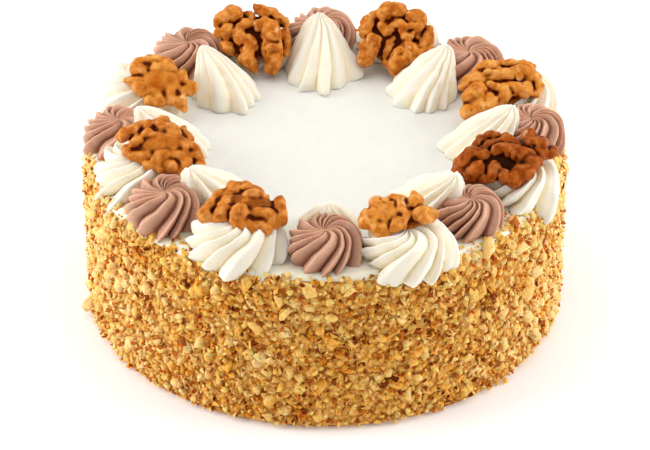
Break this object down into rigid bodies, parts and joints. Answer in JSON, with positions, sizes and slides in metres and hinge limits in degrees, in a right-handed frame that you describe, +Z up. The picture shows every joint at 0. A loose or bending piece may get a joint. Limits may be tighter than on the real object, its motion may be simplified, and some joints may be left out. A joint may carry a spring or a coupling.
{
  "type": "walnut cake",
  "caption": "Round uncut cake with chopped nuts on its side, a smooth cream top, and an edge of piped cocoa and cream rosettes, cream drops and walnut halves.",
  "frame": {"origin": "centre of the flat base", "axes": "+Z up, -Y towards the front of the picture"},
  "size_m": [0.1995, 0.1986, 0.1003],
  "materials": {
    "nut_coat": "rough, chopped walnuts: pale crumbs with amber and brown skins",
    "cream": "soft satin, ivory whipped cream",
    "cocoa_cream": "soft satin, pale cocoa cream",
    "walnut": "satin walnut skin, golden to dark brown"
  },
  "bodies": {
    "root": {"cake_body": "nut_coat", "cream_top": "cream", "cocoa_rosette_1": "cocoa_cream", "cocoa_rosette_2": "cocoa_cream", "cocoa_rosette_3": "cocoa_cream", "cocoa_rosette_4": "cocoa_cream", "cocoa_rosette_5": "cocoa_cream", "cocoa_rosette_6": "cocoa_cream", "cocoa_rosette_7": "cocoa_cream", "cocoa_rosette_8": "cocoa_cream", "cream_rosette_1": "cream", "cream_rosette_2": "cream", "cream_rosette_3": "cream", "cream_rosette_4": "cream", "cream_rosette_5": "cream", "cream_rosette_6": "cream", "cream_rosette_7": "cream", "cream_rosette_8": "cream", "cream_drop_1": "cream", "cream_drop_2": "cream", "cream_drop_3": "cream", "cream_drop_4": "cream", "cream_drop_5": "cream", "cream_drop_6": "cream", "cream_drop_7": "cream", "cream_drop_8": "cream", "walnut_1": "walnut", "walnut_2": "walnut", "walnut_3": "walnut", "walnut_4": "walnut", "walnut_5": "walnut", "walnut_6": "walnut", "walnut_7": "walnut", "walnut_8": "walnut"}
  },
  "joints": []
}
